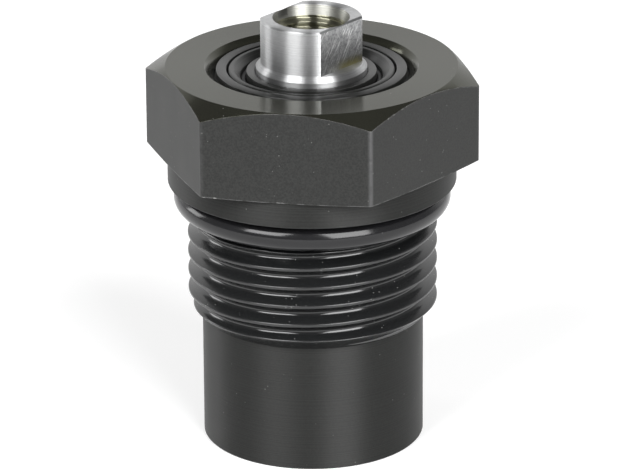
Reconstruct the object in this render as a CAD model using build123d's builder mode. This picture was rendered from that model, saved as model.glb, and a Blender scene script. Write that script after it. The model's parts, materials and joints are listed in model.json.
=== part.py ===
from build123d import *
import math
import os

# Screw-in hydraulic cartridge: a fluid-advance plunger that a collet clamps.
# Millimetres, +Z up along the plunger, origin on the axis at the flat bottom of the nose.

# ---- Body, outside -------------------------------------------------------------------
nose_diameter = 23.9
nose_length = 14.1
nose_edge = 0.15
thread_diameter = 26.92          # 1-1/16-12 UN major diameter
thread_pitch = 25.4 / 12
thread_length = 11.4
thread_lead_in = 1.45            # height of the cone at the start of the thread
thread_lead_in_step = 0.15       # radial, from the nose to the foot of that cone
thread_run_out = 0.7             # height of the cone down into the undercut
undercut_diameter = 24.1
undercut_length = 3.55
collar_diameter = 31.06
collar_length = 2.85
collar_edge = 0.15
hex_across_flats = 31.4
hex_height = 10.0
hex_corner_radius = 0.3
hex_top_circle = 31.26           # the round top face inside the chamfered corners
hex_top_angle = 30
hex_bottom_circle = 31.7
hex_bottom_angle = 5

# ---- Body, inside --------------------------------------------------------------------
inlet_diameter = 4.0
floor_thickness = 5.0
filter_pocket_diameter = 7.0
filter_pocket_depth = 2.6
main_bore_diameter = 17.8
gland_bore_depth = 5.9           # from the hex top down to the shoulder under the gland
recess_width = 1.0               # radial, the bevelled mouth of the gland's bore
recess_depth = 0.95

# ---- Running parts -------------------------------------------------------------------
stroke = 6.0                     # plunger travel
lock_stroke = 0.6                # lock piston travel
plunger_diameter = 11.9
plunger_top = 47.3
plunger_shoulder = 42.35         # foot of the turned-down end
plunger_end_diameter = 10.86
plunger_end_chamfer = 0.12
flats_across = 8.4
flats_angle = -30                # normal of the first flat, about Z
flats_corner = 0.35
flats_edge = 0.2                 # chamfer along the top of each flat
tapped_hole_diameter = 6.88      # 5/16-24 UNF minor diameter; the hole's thread isn't cut
tapped_drill_depth = 9.0
mouth_depth = 1.15               # the plain wall above the tapped hole
mouth_step = 0.54                # radial, from the tapped hole out to the foot of that wall
mouth_flare = 0.14               # radial, from the foot of that wall to its rim
spring_bore_diameter = 7.5
web_thickness = 1.5              # between the drill point and the spring bore
plunger_flange_diameter = 13.4
plunger_flange_thickness = 1.2
plunger_foot_chamfer = 0.3

# ---- Unified thread form, in pitches ---------------------------------------------------
thread_depth = 0.5413            # crest to the flat of the root
cutter_overrun = 0.03            # how far the cut reaches past the crest

# ---- Clearances ----------------------------------------------------------------------
running_clearance = 0.03         # radial, between sliding metal parts
seal_clearance = 0.02            # radial, round each seal
loose_clearance = 0.1            # radial or axial, where parts only drop in
plunger_to_piston_gap = 0.9      # under the plunger at rest, more than the lock stroke
stop_margin = 0.1                # left at the end of the plunger's travel

# ---- Collet and springs --------------------------------------------------------------
collet_length = 8.5
collet_flange_thickness = 1.3
collet_wall_low = 0.95           # wall at the thin end of the taper
collet_wall_high = 1.45          # wall at the thick end of the taper
collet_relief_height = 0.8
collet_relief_depth = 0.25       # below the thick end of the taper
collet_slot_width = 0.7
collet_slot_count = 6
taper_gap = 0.12                 # radial, between collet and lock piston at rest
disc_spring_thickness = 0.45
disc_spring_cone = 0.5
disc_spring_inside = 15.5
advance_wire = 0.8
advance_spring_diameter = 6.7
advance_coils = 7
return_wire = 0.7
return_spring_diameter = 7.1
return_coils = 4

# ---- Pistons, rings and seals --------------------------------------------------------
lock_foot_chamfer = 0.4
lock_groove_height = 3.0         # bottom of the seal groove above the floor
lock_seal_section = 1.5
lock_backup_width = 0.9
advance_bore_diameter = 9.0
advance_piston_length = 4.0
advance_groove_height = 0.8
advance_seal_section = 1.0
advance_backup_width = 0.6
stem_diameter = 4.4
stem_thread_diameter = 3.0
seat_flange_thickness = 1.2
seat_hub_length = 1.8
ring_thickness = 0.8             # snap rings
ring_groove_depth = 0.4
ring_gap_angle = 50
plunger_ring_margin = 0.5        # radial, between the plunger's snap ring and the stem
port_seal_drop = 1.7             # from the seat face down to the centre of the port O-ring
port_seal_section = 2.855
gland_flange_height = 3.0
gland_neck_diameter = 17.8
gland_seal_section = 1.1
gland_seal_height = 1.4          # centre of the O-ring above the gland's bottom
gland_top_drop = 0.35            # rim of the gland below the hex top
gland_top_edge = 0.15            # chamfer outside that rim
gland_bevel = 0.73               # chamfer from that rim down to the scraper's pocket
scraper_pocket_diameter = 15.24
scraper_pocket_depth = 2.02
scraper_diameter = 13.9
scraper_edge = 0.15
scraper_top_drop = 0.58
energizer_top_drop = 1.35
lock_ring_clearance = 0.2        # radial, between the lock ring and the gland's neck
lock_ring_width = 1.32           # radial, its wide foot
lock_ring_step = 0.22            # radial, from the wide foot to the top
lock_ring_drop = 0.34
filter_thickness = 1.4

# ---- Heights worked out from the sizes above -----------------------------------------
thread_top = nose_length + thread_length
seat_height = thread_top + undercut_length
collar_top = seat_height + collar_length
hex_top = collar_top + hex_height
gland_bottom = hex_top - gland_bore_depth
collet_bottom = gland_bottom - collet_length
plunger_flange_top = collet_bottom - stroke - stop_margin
plunger_bottom = plunger_flange_top - plunger_flange_thickness
lock_head_top = plunger_bottom - plunger_to_piston_gap
stop_ring_top = lock_head_top - ring_thickness
stop_ring_bottom = stop_ring_top - ring_thickness
advance_piston_top = floor_thickness + advance_piston_length
plunger_ring_bottom = plunger_bottom + ring_thickness
plunger_ring_top = plunger_ring_bottom + ring_thickness
seat_bottom = plunger_ring_top + loose_clearance / 2
seat_top = seat_bottom + seat_flange_thickness
tapped_hole_bottom = plunger_top - tapped_drill_depth
drill_tip = tapped_hole_bottom - tapped_hole_diameter / 2 * math.tan(math.radians(31))
spring_bore_top = drill_tip - web_thickness
disc_stack_height = 2 * (disc_spring_thickness + disc_spring_cone)
collet_flange_bottom = gland_bottom - collet_flange_thickness
lock_piston_top = collet_flange_bottom - disc_stack_height
taper_top = collet_flange_bottom - collet_relief_height
filter_bottom = floor_thickness - filter_pocket_depth

plunger_radius = plunger_diameter / 2
collet_inside_radius = plunger_radius + running_clearance
main_bore_radius = main_bore_diameter / 2
lock_ring_radius = gland_neck_diameter / 2 + lock_ring_clearance
gland_radius = lock_ring_radius + lock_ring_width
gland_bore_radius = gland_radius + running_clearance
advance_bore_radius = advance_bore_diameter / 2


def taper_radius(height):
    """Outside radius of the collet's taper at this height."""
    share = (height - collet_bottom) / (taper_top - collet_bottom)
    wall = collet_wall_low + share * (collet_wall_high - collet_wall_low)
    return collet_inside_radius + wall


def turned(outline, mode=Mode.ADD):
    """Turn a closed outline of (radius, height) points about the Z axis."""
    with BuildSketch(Plane.XZ) as section:
        with BuildLine():
            Polyline(*outline, close=True)
        make_face()
    revolve(section.sketch, axis=Axis.Z, mode=mode)


def ring(inside, outside, bottom, top, mode=Mode.ADD):
    """A plain turned ring, given by its radii and heights."""
    turned([(inside, bottom), (outside, bottom), (outside, top), (inside, top)], mode)


def torus(centre_radius, section_diameter, height):
    """An O-ring about the Z axis."""
    with BuildSketch(Plane.XZ) as section:
        with Locations((centre_radius, height)):
            Circle(section_diameter / 2)
    revolve(section.sketch, axis=Axis.Z)


def one_turn(root, mouth, root_width, pitch, bottom):
    """One turn of the space between thread ridges: 60 degree flanks and a rounded root.

    root and mouth are the radii of the groove's floor and of its open side.
    """
    root_half = root_width / 2
    mouth_half = root_half + (mouth - root) * math.tan(math.radians(30))
    root_sag = root_half * math.tan(math.radians(30))
    with BuildPart() as groove:
        with BuildLine() as path:
            Helix(pitch=pitch, height=pitch, radius=root, center=(0, 0, bottom))
        with BuildSketch(Plane.XZ):
            with BuildLine():
                Polyline(
                    (root, bottom + root_half),
                    (mouth, bottom + mouth_half),
                    (mouth, bottom - mouth_half),
                    (root, bottom - root_half),
                )
                ThreePointArc(
                    (root, bottom - root_half),
                    (root - root_sag, bottom),
                    (root, bottom + root_half),
                )
            make_face()
        sweep(path=path.line, is_frenet=True)
    return groove.part


def cut_thread(turn, pitch, length):
    """Cut a thread one turn after another, upwards from the given first turn."""
    for step in range(math.ceil(length / pitch)):
        add(Pos(0, 0, step * pitch) * turn, mode=Mode.SUBTRACT)


def coil(outside_diameter, wire, bottom, top, turns):
    """A compression spring with its two ends ground flat at bottom and top."""
    mean_radius = (outside_diameter - wire) / 2
    height = top - bottom
    with BuildPart() as spring:
        with BuildLine() as path:
            Helix(pitch=height / turns, height=height, radius=mean_radius, center=(0, 0, bottom))
        with BuildSketch(Plane.XZ):
            with Locations((mean_radius, bottom)):
                Circle(wire / 2)
        sweep(path=path.line, is_frenet=True)
        ring(0, outside_diameter, bottom, top, Mode.INTERSECT)
    return spring.part


def snap_ring(inside, outside, bottom):
    """A flat internal snap ring with an open gap."""
    with BuildPart() as clip:
        ring(inside, outside, bottom, bottom + ring_thickness)
        half_gap = math.radians(ring_gap_angle / 2)
        reach = 2 * outside
        with BuildSketch(Plane.XY.offset(bottom)):
            with BuildLine():
                Polyline(
                    (0, 0),
                    (reach * math.cos(half_gap), -reach * math.sin(half_gap)),
                    (reach * math.cos(half_gap), reach * math.sin(half_gap)),
                    close=True,
                )
            make_face()
        extrude(amount=ring_thickness, mode=Mode.SUBTRACT)
    return clip.part


# ---- Body ----------------------------------------------------------------------------
nose_radius = nose_diameter / 2
thread_radius = thread_diameter / 2
undercut_radius = undercut_diameter / 2
collar_radius = collar_diameter / 2
hex_corner = hex_across_flats / math.sqrt(3)
beyond = hex_corner + 1
top_slope = math.tan(math.radians(hex_top_angle))
bottom_slope = math.tan(math.radians(hex_bottom_angle))
top_circle_radius = hex_top_circle / 2
bottom_circle_radius = hex_bottom_circle / 2
thread_root_radius = thread_radius - thread_depth * thread_pitch
recess_radius = gland_bore_radius + recess_width
filter_groove_top = floor_thickness - loose_clearance
filter_groove_bottom = filter_groove_top - ring_thickness
filter_pocket_radius = filter_pocket_diameter / 2

port_thread_start = nose_length - 0.78 * thread_pitch
port_thread_turn = one_turn(
    thread_root_radius,
    thread_radius + cutter_overrun * thread_pitch,
    thread_pitch / 4,
    thread_pitch,
    port_thread_start,
)

with BuildPart() as body:
    with BuildSketch(Plane.XY.offset(collar_top)) as hexagon:
        RegularPolygon(hex_across_flats / 2, 6, major_radius=False)
        fillet(hexagon.vertices(), hex_corner_radius)
    extrude(amount=hex_height)
    turned(
        [
            (0, collar_top),
            (bottom_circle_radius, collar_top),
            (beyond, collar_top + (beyond - bottom_circle_radius) * bottom_slope),
            (beyond, hex_top - (beyond - top_circle_radius) * top_slope),
            (top_circle_radius, hex_top),
            (0, hex_top),
        ],
        Mode.INTERSECT,
    )
    turned(
        [
            (0, 0),
            (nose_radius - nose_edge, 0),
            (nose_radius, nose_edge),
            (nose_radius, nose_length),
            (nose_radius + thread_lead_in_step, nose_length),
            (thread_radius, nose_length + thread_lead_in),
            (thread_radius, thread_top - thread_run_out),
            (undercut_radius, thread_top),
            (undercut_radius, seat_height),
            (collar_radius - collar_edge, seat_height),
            (collar_radius, seat_height + collar_edge),
            (collar_radius, collar_top),
            (0, collar_top),
        ]
    )
    turned(
        [
            (0, 0),
            (inlet_diameter / 2, 0),
            (inlet_diameter / 2, filter_bottom),
            (filter_pocket_radius, filter_bottom),
            (filter_pocket_radius, filter_groove_bottom),
            (filter_pocket_radius + ring_groove_depth, filter_groove_bottom),
            (filter_pocket_radius + ring_groove_depth, filter_groove_top),
            (filter_pocket_radius, filter_groove_top),
            (filter_pocket_radius, floor_thickness),
            (main_bore_radius, floor_thickness),
            (main_bore_radius, gland_bottom),
            (gland_bore_radius, gland_bottom),
            (gland_bore_radius, hex_top - recess_depth),
            (recess_radius, hex_top),
            (0, hex_top),
        ],
        Mode.SUBTRACT,
    )
    cut_thread(port_thread_turn, thread_pitch, thread_top - port_thread_start)

# ---- Seal under the hex --------------------------------------------------------------
port_seal_inside = undercut_radius + seal_clearance
with BuildPart() as port_o_ring:
    torus(port_seal_inside + port_seal_section / 2, port_seal_section, seat_height - port_seal_drop)

# ---- Inlet filter --------------------------------------------------------------------
with BuildPart() as inlet_filter:
    ring(0, filter_pocket_radius - seal_clearance, filter_bottom, filter_bottom + filter_thickness)

filter_ring_outside = filter_pocket_radius + ring_groove_depth - running_clearance
with BuildPart() as filter_snap_ring:
    add(snap_ring(filter_pocket_radius - ring_thickness, filter_ring_outside, filter_groove_bottom))

# ---- Collet --------------------------------------------------------------------------
relief_radius = taper_radius(taper_top) - collet_relief_depth
collet_flange_radius = main_bore_radius - loose_clearance
with BuildPart() as collet:
    turned(
        [
            (collet_inside_radius, collet_bottom),
            (taper_radius(collet_bottom), collet_bottom),
            (taper_radius(taper_top), taper_top),
            (relief_radius, taper_top),
            (relief_radius, collet_flange_bottom),
            (collet_flange_radius, collet_flange_bottom),
            (collet_flange_radius, gland_bottom),
            (collet_inside_radius, gland_bottom),
        ]
    )
    with BuildSketch(Plane.XY.offset(collet_bottom)):
        with PolarLocations(collet_inside_radius + collet_wall_high / 2, collet_slot_count):
            Rectangle(3 * collet_wall_high, collet_slot_width)
    extrude(amount=taper_top - collet_bottom, mode=Mode.SUBTRACT)

# ---- Gland, its seal, and the ring that locks it ---------------------------------------
gland_neck_radius = gland_neck_diameter / 2
gland_flange_top = gland_bottom + gland_flange_height
gland_groove_radius = gland_bore_radius - gland_seal_section - 2 * seal_clearance
gland_seal_centre = gland_bottom + gland_seal_height
gland_groove_half = gland_seal_section / 2 + loose_clearance
scraper_pocket_radius = scraper_pocket_diameter / 2
gland_rim = hex_top - gland_top_drop
scraper_pocket_top = gland_rim - gland_bevel
scraper_pocket_bottom = scraper_pocket_top - scraper_pocket_depth
with BuildPart() as gland:
    turned(
        [
            (collet_inside_radius, gland_bottom),
            (gland_radius, gland_bottom),
            (gland_radius, gland_seal_centre - gland_groove_half),
            (gland_groove_radius, gland_seal_centre - gland_groove_half),
            (gland_groove_radius, gland_seal_centre + gland_groove_half),
            (gland_radius, gland_seal_centre + gland_groove_half),
            (gland_radius, gland_flange_top),
            (gland_neck_radius, gland_flange_top),
            (gland_neck_radius, gland_rim - gland_top_edge),
            (gland_neck_radius - gland_top_edge, gland_rim),
            (scraper_pocket_radius + gland_bevel, gland_rim),
            (scraper_pocket_radius, scraper_pocket_top),
            (scraper_pocket_radius, scraper_pocket_bottom),
            (collet_inside_radius, scraper_pocket_bottom),
        ]
    )

with BuildPart() as gland_o_ring:
    torus(
        gland_bore_radius - seal_clearance - gland_seal_section / 2,
        gland_seal_section,
        gland_seal_centre,
    )

recess_foot = hex_top - recess_depth
lock_ring_top_radius = gland_radius - lock_ring_step
with BuildPart() as lock_ring:
    turned(
        [
            (lock_ring_radius, gland_flange_top),
            (gland_radius, gland_flange_top),
            (gland_radius, recess_foot - lock_ring_step),
            (lock_ring_top_radius, recess_foot),
            (lock_ring_top_radius, hex_top - lock_ring_drop),
            (lock_ring_radius, hex_top - lock_ring_drop),
        ]
    )

# ---- Scraper round the plunger -------------------------------------------------------
scraper_radius = scraper_diameter / 2
scraper_top = hex_top - scraper_top_drop
with BuildPart() as scraper_ring:
    turned(
        [
            (plunger_radius + seal_clearance, scraper_pocket_bottom),
            (scraper_radius, scraper_pocket_bottom),
            (scraper_radius, scraper_top),
            (plunger_radius + seal_clearance + scraper_edge, scraper_top),
            (plunger_radius + seal_clearance, scraper_top - scraper_edge),
        ]
    )

energizer_inside = scraper_radius + seal_clearance
energizer_outside = scraper_pocket_radius - seal_clearance
with BuildPart() as scraper_energizer:
    ring(energizer_inside, energizer_outside, scraper_pocket_bottom, hex_top - energizer_top_drop)
    upper_edges = scraper_energizer.edges().group_by(Axis.Z)[-1]
    fillet(upper_edges, 0.4 * (energizer_outside - energizer_inside))

# ---- Lock piston: wedges the collet on the plunger -------------------------------------
lock_piston_radius = main_bore_radius - running_clearance
lock_groove_radius = main_bore_radius - lock_seal_section - 2 * seal_clearance
lock_groove_bottom = floor_thickness + lock_groove_height
lock_seal_top = lock_groove_bottom + loose_clearance + lock_seal_section
lock_backup_top = lock_seal_top + lock_backup_width
lock_groove_top = lock_backup_top + loose_clearance
cavity_radius = max(
    taper_radius(collet_bottom) + taper_gap,
    plunger_flange_diameter / 2 + 2 * loose_clearance,
)
with BuildPart() as lock_piston:
    turned(
        [
            (advance_bore_radius, floor_thickness),
            (lock_piston_radius - lock_foot_chamfer, floor_thickness),
            (lock_piston_radius, floor_thickness + lock_foot_chamfer),
            (lock_piston_radius, lock_groove_bottom),
            (lock_groove_radius, lock_groove_bottom),
            (lock_groove_radius, lock_groove_top),
            (lock_piston_radius, lock_groove_top),
            (lock_piston_radius, lock_piston_top),
            (taper_radius(lock_piston_top) + taper_gap, lock_piston_top),
            (cavity_radius, collet_bottom),
            (cavity_radius, lock_head_top),
            (advance_bore_radius, lock_head_top),
            (advance_bore_radius, stop_ring_top),
            (advance_bore_radius + ring_groove_depth, stop_ring_top),
            (advance_bore_radius + ring_groove_depth, stop_ring_bottom),
            (advance_bore_radius, stop_ring_bottom),
        ]
    )

with BuildPart() as lock_piston_o_ring:
    torus(
        lock_groove_radius + seal_clearance + lock_seal_section / 2,
        lock_seal_section,
        lock_groove_bottom + (loose_clearance + lock_seal_section) / 2,
    )

with BuildPart() as lock_piston_backup_ring:
    ring(
        lock_groove_radius + seal_clearance,
        main_bore_radius - seal_clearance,
        lock_seal_top,
        lock_backup_top,
    )

stop_ring_outside = advance_bore_radius + ring_groove_depth - running_clearance
return_spring_inside = return_spring_diameter / 2 - return_wire
with BuildPart() as piston_stop_ring:
    add(snap_ring(return_spring_inside - loose_clearance, stop_ring_outside, stop_ring_bottom))

disc_outside = main_bore_radius - loose_clearance / 2
disc_inside = disc_spring_inside / 2
with BuildPart() as disc_springs:
    for outer_face, up in ((lock_piston_top, 1), (collet_flange_bottom, -1)):
        dish = up * (disc_spring_cone - seal_clearance)
        turned(
            [
                (disc_outside, outer_face),
                (disc_outside, outer_face + up * disc_spring_thickness),
                (disc_inside, outer_face + dish + up * disc_spring_thickness),
                (disc_inside, outer_face + dish),
            ]
        )

# ---- Advance piston: raises the plunger through the advance spring ---------------------
advance_piston_radius = advance_bore_radius - running_clearance
advance_groove_radius = advance_bore_radius - advance_seal_section - 2 * seal_clearance
advance_groove_bottom = floor_thickness + advance_groove_height
advance_seal_top = advance_groove_bottom + loose_clearance + advance_seal_section
advance_backup_top = advance_seal_top + advance_backup_width
advance_groove_top = advance_backup_top + loose_clearance
stem_radius = stem_diameter / 2
stem_thread_radius = stem_thread_diameter / 2
stem_top = seat_top + seat_hub_length / 2
with BuildPart() as advance_piston:
    turned(
        [
            (0, floor_thickness),
            (advance_piston_radius, floor_thickness),
            (advance_piston_radius, advance_groove_bottom),
            (advance_groove_radius, advance_groove_bottom),
            (advance_groove_radius, advance_groove_top),
            (advance_piston_radius, advance_groove_top),
            (advance_piston_radius, advance_piston_top),
            (stem_radius, advance_piston_top),
            (stem_radius, seat_bottom),
            (stem_thread_radius, seat_bottom),
            (stem_thread_radius, stem_top),
            (0, stem_top),
        ]
    )

with BuildPart() as advance_piston_o_ring:
    torus(
        advance_groove_radius + seal_clearance + advance_seal_section / 2,
        advance_seal_section,
        advance_groove_bottom + (loose_clearance + advance_seal_section) / 2,
    )

with BuildPart() as advance_piston_backup_ring:
    ring(
        advance_groove_radius + seal_clearance,
        advance_bore_radius - seal_clearance,
        advance_seal_top,
        advance_backup_top,
    )

spring_bore_radius = spring_bore_diameter / 2
with BuildPart() as spring_seat:
    turned(
        [
            (stem_thread_radius + seal_clearance, seat_bottom),
            (spring_bore_radius - loose_clearance, seat_bottom),
            (spring_bore_radius - loose_clearance, seat_top),
            (stem_radius, seat_top),
            (stem_radius, seat_top + seat_hub_length),
            (0, seat_top + seat_hub_length),
            (0, stem_top + loose_clearance),
            (stem_thread_radius + seal_clearance, stem_top + loose_clearance),
        ]
    )

with BuildPart() as advance_spring:
    add(coil(advance_spring_diameter, advance_wire, seat_top, spring_bore_top, advance_coils))

with BuildPart() as return_spring:
    add(coil(return_spring_diameter, return_wire, advance_piston_top, stop_ring_bottom, return_coils))

# ---- Plunger -------------------------------------------------------------------------
plunger_end_radius = plunger_end_diameter / 2
plunger_flange_radius = plunger_flange_diameter / 2
tapped_hole_radius = tapped_hole_diameter / 2
mouth_radius = tapped_hole_radius + mouth_step
mouth_foot = plunger_top - mouth_depth
ring_groove_radius = spring_bore_radius + ring_groove_depth
shoulder_foot = plunger_shoulder - (plunger_radius - plunger_end_radius)
flat_offset = flats_across / 2
with BuildPart() as plunger:
    turned(
        [
            (spring_bore_radius, plunger_bottom),
            (plunger_flange_radius - plunger_foot_chamfer, plunger_bottom),
            (plunger_flange_radius, plunger_bottom + plunger_foot_chamfer),
            (plunger_flange_radius, plunger_flange_top),
            (plunger_radius, plunger_flange_top),
            (plunger_radius, shoulder_foot),
            (plunger_end_radius, plunger_shoulder),
            (plunger_end_radius, plunger_top - plunger_end_chamfer),
            (plunger_end_radius - plunger_end_chamfer, plunger_top),
            (mouth_radius + mouth_flare, plunger_top),
            (mouth_radius, mouth_foot),
            (tapped_hole_radius, mouth_foot - mouth_step),
            (tapped_hole_radius, tapped_hole_bottom),
            (0, drill_tip),
            (0, spring_bore_top),
            (spring_bore_radius, spring_bore_top),
            (spring_bore_radius, plunger_ring_top),
            (ring_groove_radius, plunger_ring_top),
            (ring_groove_radius, plunger_ring_bottom),
            (spring_bore_radius, plunger_ring_bottom),
        ]
    )
    for side in (flats_angle, flats_angle + 180):
        outward = Vector(1, 0, 0).rotate(Axis.Z, side)
        across = outward.cross(Vector(0, 0, 1))
        with BuildSketch(Plane(origin=(0, 0, 0), x_dir=outward, z_dir=across)):
            with BuildLine():
                Polyline(
                    (flat_offset, plunger_shoulder + flats_corner),
                    (flat_offset, plunger_top - flats_edge),
                    (flat_offset - flats_edge - 1, plunger_top + 1),
                    (plunger_radius + 1, plunger_top + 1),
                    (plunger_radius + 1, plunger_shoulder),
                    (flat_offset + flats_corner, plunger_shoulder),
                )
                RadiusArc(
                    (flat_offset + flats_corner, plunger_shoulder),
                    (flat_offset, plunger_shoulder + flats_corner),
                    flats_corner,
                )
            make_face()
        extrude(amount=plunger_radius, both=True, mode=Mode.SUBTRACT)

plunger_ring_outside = ring_groove_radius - running_clearance
with BuildPart() as plunger_snap_ring:
    add(snap_ring(stem_radius + plunger_ring_margin, plunger_ring_outside, plunger_ring_bottom))

# ---- Write one STEP file for each sub-part ---------------------------------------------
os.makedirs("parts", exist_ok=True)
sub_parts = {
    "body": body,
    "port_o_ring": port_o_ring,
    "inlet_filter": inlet_filter,
    "filter_snap_ring": filter_snap_ring,
    "collet": collet,
    "gland": gland,
    "gland_o_ring": gland_o_ring,
    "lock_ring": lock_ring,
    "scraper_ring": scraper_ring,
    "scraper_energizer": scraper_energizer,
    "lock_piston": lock_piston,
    "lock_piston_o_ring": lock_piston_o_ring,
    "lock_piston_backup_ring": lock_piston_backup_ring,
    "piston_stop_ring": piston_stop_ring,
    "disc_springs": disc_springs,
    "advance_piston": advance_piston,
    "advance_piston_o_ring": advance_piston_o_ring,
    "advance_piston_backup_ring": advance_piston_backup_ring,
    "spring_seat": spring_seat,
    "advance_spring": advance_spring,
    "return_spring": return_spring,
    "plunger": plunger,
    "plunger_snap_ring": plunger_snap_ring,
}
for node, sub_part in sub_parts.items():
    sub_part.part.label = node
    export_step(sub_part.part, f"parts/{node}.step")
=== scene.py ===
"""Screw-in hydraulic cartridge: the dressed model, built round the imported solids.

Laid out as a Blender add-on: property groups hold the sizes and colours, one operator
makes each group of pieces, and a panel lists them. Run as a script it makes everything.
"""

import json
import math

import bmesh
import bpy
from mathutils import Matrix, Vector


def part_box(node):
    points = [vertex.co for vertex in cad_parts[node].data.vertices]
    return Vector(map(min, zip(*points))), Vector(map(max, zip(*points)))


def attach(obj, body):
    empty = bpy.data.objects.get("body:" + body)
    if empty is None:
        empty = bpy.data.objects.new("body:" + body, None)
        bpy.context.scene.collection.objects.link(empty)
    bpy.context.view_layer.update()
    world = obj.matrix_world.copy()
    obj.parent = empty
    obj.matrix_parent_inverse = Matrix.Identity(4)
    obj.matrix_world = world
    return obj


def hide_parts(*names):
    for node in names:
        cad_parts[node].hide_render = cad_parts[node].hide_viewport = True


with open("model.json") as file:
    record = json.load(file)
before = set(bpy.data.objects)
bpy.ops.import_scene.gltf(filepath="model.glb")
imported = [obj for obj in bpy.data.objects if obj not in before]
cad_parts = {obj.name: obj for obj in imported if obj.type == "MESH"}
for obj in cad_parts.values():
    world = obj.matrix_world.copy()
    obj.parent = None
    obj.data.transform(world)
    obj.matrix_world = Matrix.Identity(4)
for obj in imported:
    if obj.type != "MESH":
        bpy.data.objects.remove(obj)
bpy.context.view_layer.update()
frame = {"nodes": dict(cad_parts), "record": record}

bl_info = {
    "name": "Screw-in hydraulic cartridge",
    "version": (1, 0, 0),
    "blender": (4, 5, 0),
    "location": "3D View > Sidebar > Cartridge",
    "description": "Makes the visible pieces, finishes and stage of a screw-in cartridge",
    "category": "Object",
}

MM = 0.001
TURN_STEPS = 216                 # facets round every turned piece
AXIS = Vector((0, 0, 1))
WHITE = (1.0, 1.0, 1.0)
WELD = 0.002 * MM                # corners closer than this are merged
SAME = 0.01 * MM                 # lengths closer than this count as the same
MARGIN = 1 * MM                  # well clear of one feature, and still far from the next
FRONT = math.radians(-90)        # bearing of the side in view, from +X about Z
HIGHLIT_CORNER = math.radians(-60)    # bearing of the hexagon's corner with the strongest painted highlight
QUARTER_TURN = 0.25              # anisotropic rotation that draws highlights out along Z


# ---- Property helpers ------------------------------------------------------------------
def length(name, description, millimetres):
    """A length property, given in millimetres and kept in metres."""
    return bpy.props.FloatProperty(
        name=name, description=description, default=millimetres * MM, unit="LENGTH", precision=5
    )


def angle(name, description, degrees):
    """An angle property, given in degrees."""
    return bpy.props.FloatProperty(
        name=name, description=description, default=math.radians(degrees), subtype="ANGLE"
    )


def share(name, description, value):
    """A number from 0 to 1."""
    return bpy.props.FloatProperty(
        name=name, description=description, default=value, min=0.0, max=1.0, subtype="FACTOR"
    )


def strength(name, description, value):
    """A plain number of at least 0."""
    return bpy.props.FloatProperty(name=name, description=description, default=value, min=0.0)


def colour(name, description, rgb):
    """A linear colour."""
    return bpy.props.FloatVectorProperty(
        name=name, description=description, default=rgb, size=3, min=0.0, max=1.0, subtype="COLOR"
    )


# ---- Sizes and colours -----------------------------------------------------------------
class BodySizes(bpy.types.PropertyGroup):
    """Sizes of the black body with its hexagon and port thread."""

    nose_diameter: length("Nose diameter", "Plain nose below the thread", 23.9)
    nose_length: length("Nose length", "Height where the thread starts", 14.1)
    nose_edge: length("Nose edge", "Chamfer round the bottom", 0.15)
    thread_diameter: length("Thread diameter", "Crests of the port thread", 26.92)
    thread_pitch: length("Thread pitch", "Rise of one turn", 25.4 / 12)
    thread_length: length("Thread length", "Height of the threaded part", 11.4)
    thread_lead_in: length("Lead-in", "Height of the cone at the thread's start", 1.45)
    thread_lead_in_step: length("Lead-in step", "Radial step from the nose to that cone", 0.15)
    thread_run_out: length("Run-out", "Height of the cone at the thread's end", 0.7)
    thread_phase: share("Thread phase", "Start of the helix below the nose's top, in pitches", 0.78)
    crest_share: share("Crest share", "Width of the thread's crests, in pitches", 1 / 8)
    crest_rounding: length("Crest rounding", "Rounding of the thread's crests", 0.09)
    root_hollow: length("Root hollow", "Radius in the thread's oily roots", 0.45)
    undercut_diameter: length("Undercut diameter", "Groove under the collar", 24.1)
    undercut_length: length("Undercut length", "Height of the groove", 3.55)
    collar_diameter: length("Collar diameter", "Round collar under the hexagon", 31.06)
    collar_length: length("Collar length", "Height of the collar", 2.85)
    collar_edge: length("Collar edge", "Chamfer under the collar", 0.15)
    hex_across_flats: length("Across flats", "Width of the hexagon", 31.4)
    hex_height: length("Hexagon height", "Height of the hexagon", 10.0)
    hex_corner_radius: length("Corner radius", "Rounding of the hexagon's corners", 0.3)
    hex_top_circle: length("Top circle", "Round top face inside the chamfered corners", 31.26)
    hex_top_angle: angle("Top chamfer", "Slope of the chamfered corners on top", 30)
    hex_bottom_circle: length("Bottom circle", "Round face under the hexagon", 31.7)
    hex_bottom_angle: angle("Bottom chamfer", "Slope under the corners", 5)
    edge_break: length("Edge break", "Small rounding of every outer edge", 0.06)


class BoreSizes(bpy.types.PropertyGroup):
    """Sizes inside the body."""

    inlet_diameter: length("Oil inlet", "Hole in the bottom of the nose", 4.0)
    floor_thickness: length("Floor", "Thickness under the main bore", 5.0)
    filter_pocket_diameter: length("Filter pocket", "Pocket above the oil inlet", 7.0)
    filter_pocket_depth: length("Filter pocket depth", "Depth below the bore's floor", 2.6)
    ring_groove_depth: length("Groove depth", "Depth of a snap ring groove", 0.4)
    ring_thickness: length("Ring thickness", "Thickness of a snap ring", 0.8)
    ring_inset: length("Ring inset", "Groove below the bore's floor", 0.1)
    main_bore_diameter: length("Main bore", "Bore of the lock piston", 17.8)
    gland_bore_diameter: length("Gland bore", "Bore round the gland", 20.9)
    gland_bore_depth: length("Gland bore depth", "Depth below the hexagon's top", 5.9)
    recess_width: length("Recess width", "Radial width of the bevel round the gland's bore", 1.0)
    recess_depth: length("Recess depth", "Depth of that bevel", 0.95)


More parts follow.
